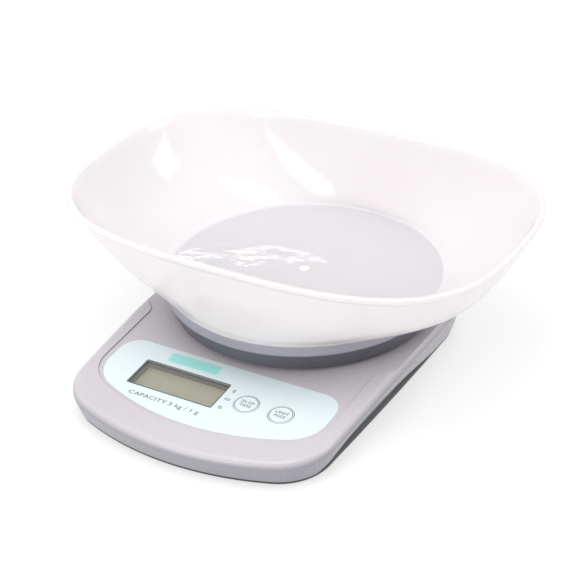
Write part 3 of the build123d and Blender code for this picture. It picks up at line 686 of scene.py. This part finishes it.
def make_print():
    """Blank teal bar, frame of the display, capacity line, unit marks and the key legends."""
    window_low, window_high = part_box("display_window")
    frame_on_panel(
        "display_frame", window_high.x - window_low.x - 2 * FRAME_INSET, FRAME_DEPTH, FRAME_LINE, print_dark,
        "base", DISPLAY,
    )
    plate_on_panel(
        "teal_bar", rounded_box(BAR_WIDTH, BAR_DEPTH, BAR_CORNER_R), print_teal, "base",
        DISPLAY - 0.9 * MM, 16.2 * MM,
    )
    words_on_panel(
        "capacity_line", "CAPACITY 5 kg / 1 g", 3.7 * MM, print_dark, "base",
        DISPLAY + 1.1 * MM, -15.5 * MM, width=40.6 * MM,
    )
    for index, unit in enumerate(("g", "oz", "lb")):
        words_on_panel(
            f"unit_mark_{unit}", unit, 3.4 * MM, print_dark, "base",
            DISPLAY + 28.6 * MM, 6.6 * MM - UNIT_PITCH * index,
        )
    for key, lines in (("tare", ("ON OFF", "TARE")), ("unit", ("UNIT", "MODE"))):
        x = middle(f"{key}_key").x
        body = f"{key}_button"
        ring_on_panel(f"{key}_ring", RING_INNER_R, RING_OUTER_R, print_grey, body, x, KEY_RISE)
        for line, words in enumerate(lines):
            words_on_panel(
                f"{key}_legend_{line}", words, 2.7 * MM, print_dark, body,
                x, 1.35 * MM - LEGEND_PITCH * line, KEY_RISE, width=(7.4 - 1.2 * line) * MM,
            )


make_print()


# ---------------------------------------------------------------- floor, light and camera
FLOOR_HALF = 4.0
LIGHT_TARGET = Vector((0, 0, 0.04))


def make_floor():
    """Plain paper sheet that shows as white, with a soft shadow under the object."""
    mesh = bpy.data.meshes.new("floor")
    corners = [(x * FLOOR_HALF, y * FLOOR_HALF, 0) for x, y in ((-1, -1), (1, -1), (1, 1), (-1, 1))]
    mesh.from_pydata(corners, [], [(0, 1, 2, 3)])
    material, tree, shader = new_material("paper_white")
    fibres = object_noise(tree, 400.0, 2.0)
    colour = two_tone(tree, fibres, (0.38, 0.38, 0.38), (0.40, 0.40, 0.40))
    tree.links.new(colour, shader.inputs["Base Color"])
    shader.inputs["Roughness"].default_value = 0.9
    shader.inputs["Emission Color"].default_value = (1, 1, 1, 1)
    shader.inputs["Emission Strength"].default_value = 0.60
    mesh.materials.append(material)
    floor = bpy.data.objects.new("floor", mesh)
    bpy.context.scene.collection.objects.link(floor)


def softbox(name, place, width, height, power):
    """Rectangular light that faces the middle of the object."""
    data = bpy.data.lights.new(name, "AREA")
    data.shape = "RECTANGLE"
    data.size = width
    data.size_y = height
    data.energy = power
    lamp = bpy.data.objects.new(name, data)
    bpy.context.scene.collection.objects.link(lamp)
    lamp.location = place
    lamp.rotation_mode = "QUATERNION"
    lamp.rotation_quaternion = (LIGHT_TARGET - Vector(place)).to_track_quat("-Z", "Y")


def make_light():
    """Even white studio with three softboxes, and a thin strip that the bowl's floor reflects."""
    world = bpy.data.worlds.new("studio")
    world.use_nodes = True
    world.node_tree.nodes["Background"].inputs["Color"].default_value = (1, 1, 1, 1)
    world.node_tree.nodes["Background"].inputs["Strength"].default_value = 0.78
    bpy.context.scene.world = world
    softbox("overhead", (-0.1, -0.1, 1.3), 0.8, 0.8, 4.8)
    softbox("key_front", (-0.30, -0.95, 0.62), 0.7, 0.5, 3.2)
    softbox("window_right", (0.95, 0.40, 0.80), 0.42, 0.5, 2.2)
    softbox("strip_rear", (-0.447, 0.756, 0.525), 0.9, 0.004, 0.08)


CAMERA_TARGET = Vector((-6.79 * MM, AXIS.y - 8.88 * MM, 30.8 * MM))
CAMERA_DISTANCE = 867.68 * MM
CAMERA_AZIMUTH = math.radians(31.486)
CAMERA_ELEVATION = math.radians(31.084)
CAMERA_ROLL = math.radians(-2.345)
CAMERA_LENS = 105.25
SENSOR_WIDTH = 36.0


def make_camera():
    """Camera in front of and above the object, to its right, rolled a little."""
    flat = math.cos(CAMERA_ELEVATION)
    back = Vector((
        math.sin(CAMERA_AZIMUTH) * flat,
        -math.cos(CAMERA_AZIMUTH) * flat,
        math.sin(CAMERA_ELEVATION),
    ))
    level_right = Vector((0, 0, 1)).cross(back).normalized()
    level_up = back.cross(level_right)
    right = level_right * math.cos(CAMERA_ROLL) + level_up * math.sin(CAMERA_ROLL)
    up = level_up * math.cos(CAMERA_ROLL) - level_right * math.sin(CAMERA_ROLL)
    data = bpy.data.cameras.new("camera")
    data.lens = CAMERA_LENS
    data.sensor_width = SENSOR_WIDTH
    data.clip_start = 0.05
    data.clip_end = 20
    camera = bpy.data.objects.new("camera", data)
    bpy.context.scene.collection.objects.link(camera)
    place = Matrix((right, up, back)).transposed().to_4x4()
    place.translation = CAMERA_TARGET + back * CAMERA_DISTANCE
    camera.matrix_world = place
    bpy.context.scene.camera = camera


make_floor()
make_light()
make_camera()
bpy.context.scene.view_settings.view_transform = "Standard"
